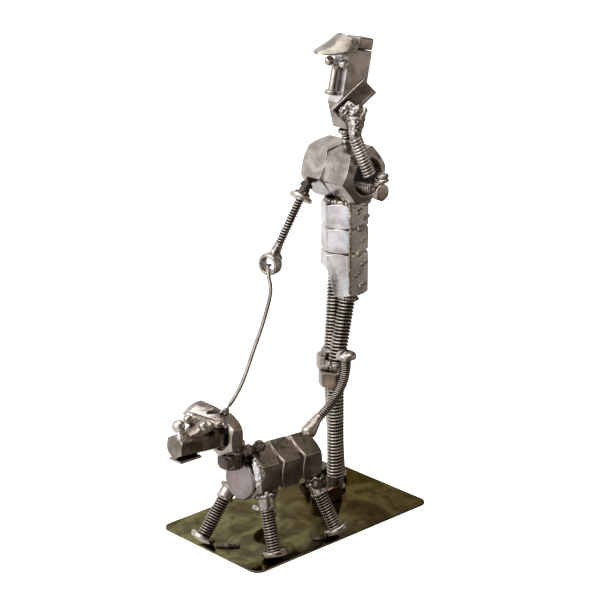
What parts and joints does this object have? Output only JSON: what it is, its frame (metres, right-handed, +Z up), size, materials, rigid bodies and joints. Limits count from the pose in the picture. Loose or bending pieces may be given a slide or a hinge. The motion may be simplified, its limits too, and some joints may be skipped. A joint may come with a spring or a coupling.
{
  "type": "metal man and dog sculpture",
  "caption": "Desk sculpture welded from nuts, bolts and scrap steel: a man on the telephone walks a small dog on a stiff wire lead, on a thin patinated plate.",
  "frame": {"origin": "centre of the base plate's underside", "axes": "+Z up, square to the plate; +X along the plate's long side, away from where both figures face; +Y across it, from the dog's left side toward its right"},
  "size_m": [0.1069, 0.0536, 0.1712],
  "materials": {
    "patina_plate": "polished and heat tinted green-brown under clear lacquer",
    "nut_steel": "ground and polished under clear lacquer",
    "rod_steel": "threaded, lacquered, dark in the thread roots",
    "bright_steel": "bright polished",
    "weld_steel": "rough weld metal under clear lacquer"
  },
  "bodies": {
    "root": {"base_plate": "patina_plate", "man_left_shin_bolt": "rod_steel", "man_left_knee_nut": "nut_steel", "man_left_thigh_bolt": "rod_steel", "man_left_shoe_nut": "nut_steel", "man_right_shin_bolt": "rod_steel", "man_right_knee_nut": "nut_steel", "man_right_thigh_bolt": "rod_steel", "man_right_shoe_nut": "nut_steel", "man_hip_nut": "nut_steel", "man_waist_nut": "nut_steel", "man_rib_nut": "nut_steel", "man_chest_weld": "weld_steel", "man_chest_nut_left": "nut_steel", "man_chest_nut_right": "nut_steel", "man_neck_stud": "rod_steel", "man_head_block": "nut_steel", "man_left_eye_ball": "bright_steel", "man_right_eye_ball": "bright_steel", "man_nose_bolt": "rod_steel", "man_cap_crown": "nut_steel", "man_cap_visor": "bright_steel", "telephone_channel": "nut_steel", "man_shoulder_bolt": "rod_steel", "man_elbow_nut": "nut_steel", "man_elbow_washer": "weld_steel", "man_forearm_spring": "rod_steel", "man_left_hand": "weld_steel", "man_right_shoulder_cone": "rod_steel", "man_right_arm_bolt": "rod_steel", "man_right_fist_nut": "nut_steel", "lead_wire": "bright_steel", "dog_rear_body_nut": "nut_steel", "dog_middle_body_nut": "nut_steel", "dog_front_body_nut": "nut_steel", "dog_chest_disc": "nut_steel", "dog_front_left_hip_collar": "nut_steel", "dog_front_left_leg_bolt": "rod_steel", "dog_rear_left_hip_collar": "nut_steel", "dog_rear_left_leg_bolt": "rod_steel", "dog_front_right_hip_collar": "nut_steel", "dog_front_right_leg_bolt": "rod_steel", "dog_rear_right_hip_collar": "nut_steel", "dog_rear_right_leg_bolt": "rod_steel", "dog_skull_nut": "nut_steel", "dog_neck_nut": "nut_steel", "dog_nape_weld": "weld_steel", "dog_muzzle_bar": "nut_steel", "dog_jaw_plate": "nut_steel", "dog_nose_ball": "bright_steel", "dog_left_eye_ball": "bright_steel", "dog_right_eye_ball": "bright_steel", "dog_ear_plate": "nut_steel", "lead_end_bead": "weld_steel", "dog_tail_screw": "rod_steel", "dog_tail_head": "bright_steel", "front_paw_weld_bead": "weld_steel", "rear_paw_weld_bead": "weld_steel"}
  },
  "joints": []
}
